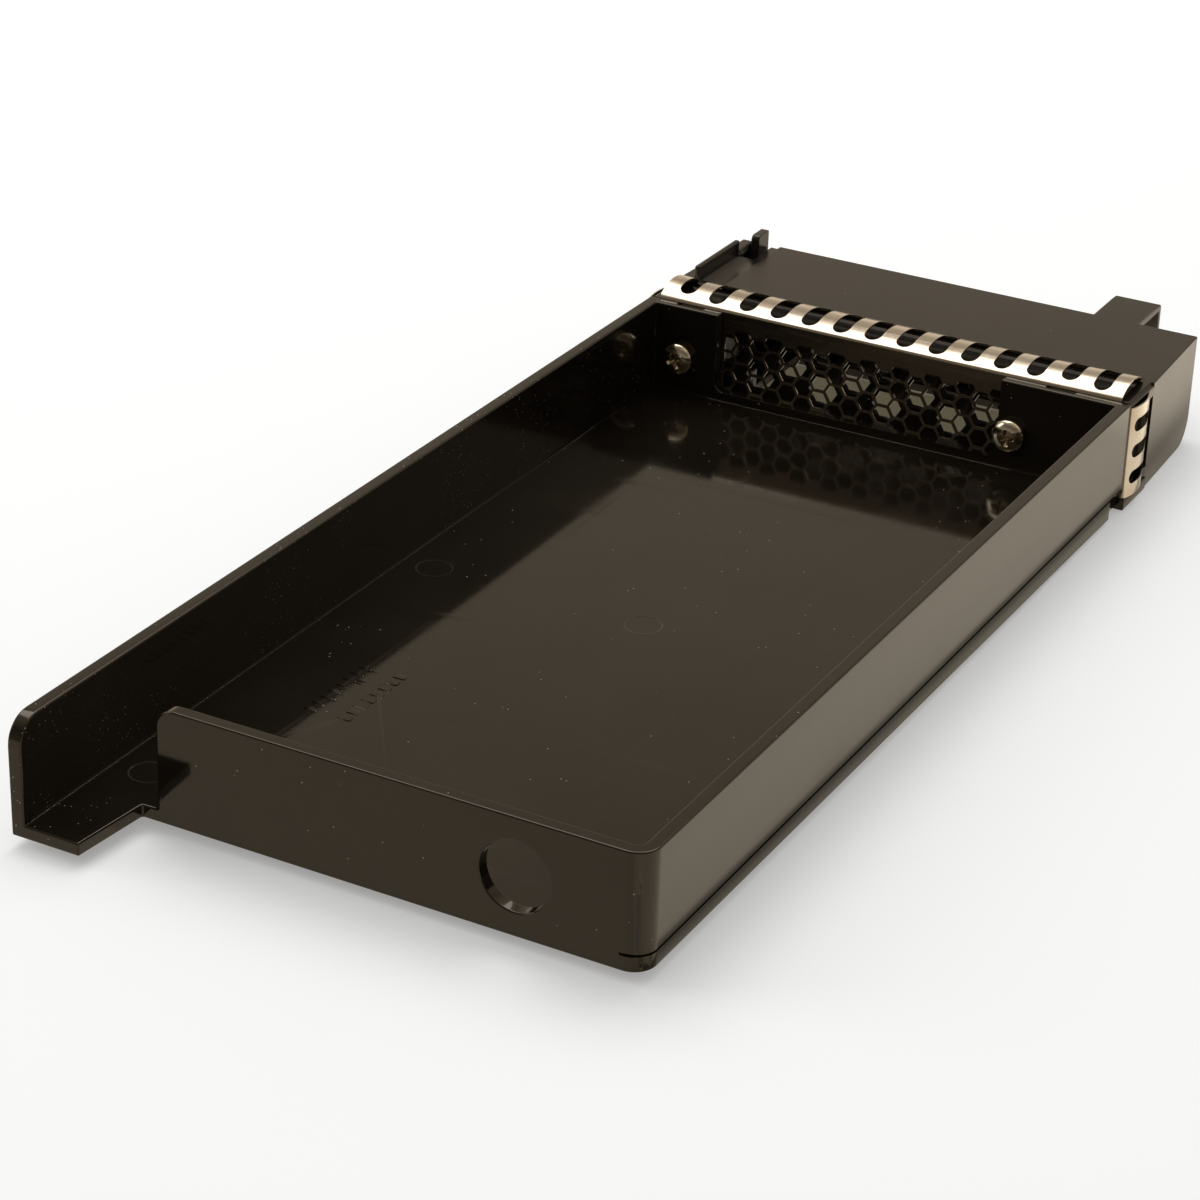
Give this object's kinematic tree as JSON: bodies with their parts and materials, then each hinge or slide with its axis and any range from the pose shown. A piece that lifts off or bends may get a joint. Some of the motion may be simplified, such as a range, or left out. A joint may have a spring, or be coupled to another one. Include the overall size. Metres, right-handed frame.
{
  "type": "drive blank filler",
  "caption": "Drive bay blank: shallow open tray, folded metal grounding shield with slotted strips, and a vented front bezel with a finger hood and a sprung catch.",
  "frame": {"origin": "centre of the bounding box in plan, at the lowest level of the bezel", "axes": "+Y from the rear end wall to the front bezel, +Z out of the open tray, +X to the right seen from the rear"},
  "size_m": [0.1092, 0.2706, 0.0264],
  "materials": {
    "tray": "glossy black moulding",
    "shield": "thin bright sheet",
    "bezel": "fine matt texture, black",
    "screws": "bright nickel plate",
    "catch": "fine matt texture, black",
    "pin": "plain",
    "spring": "drawn wire"
  },
  "bodies": {
    "housing": {"tray": "tray", "grounding_shield": "shield", "bezel": "bezel", "screw_left": "screws", "screw_right": "screws", "catch_pin": "pin", "catch_spring": "spring"},
    "catch": {"catch": "catch"}
  },
  "joints": [
    {"name": "catch_press", "type": "hinge", "parent": "housing", "child": "catch", "pos_m": [-0.047, 0.1017, 0.015], "axis": [-1, 0, 0], "range_deg": [0, 10], "stiffness_Nm_per_rad": 0.05, "springref_deg": -2.86, "deforming": ["catch_spring"]}
  ]
}
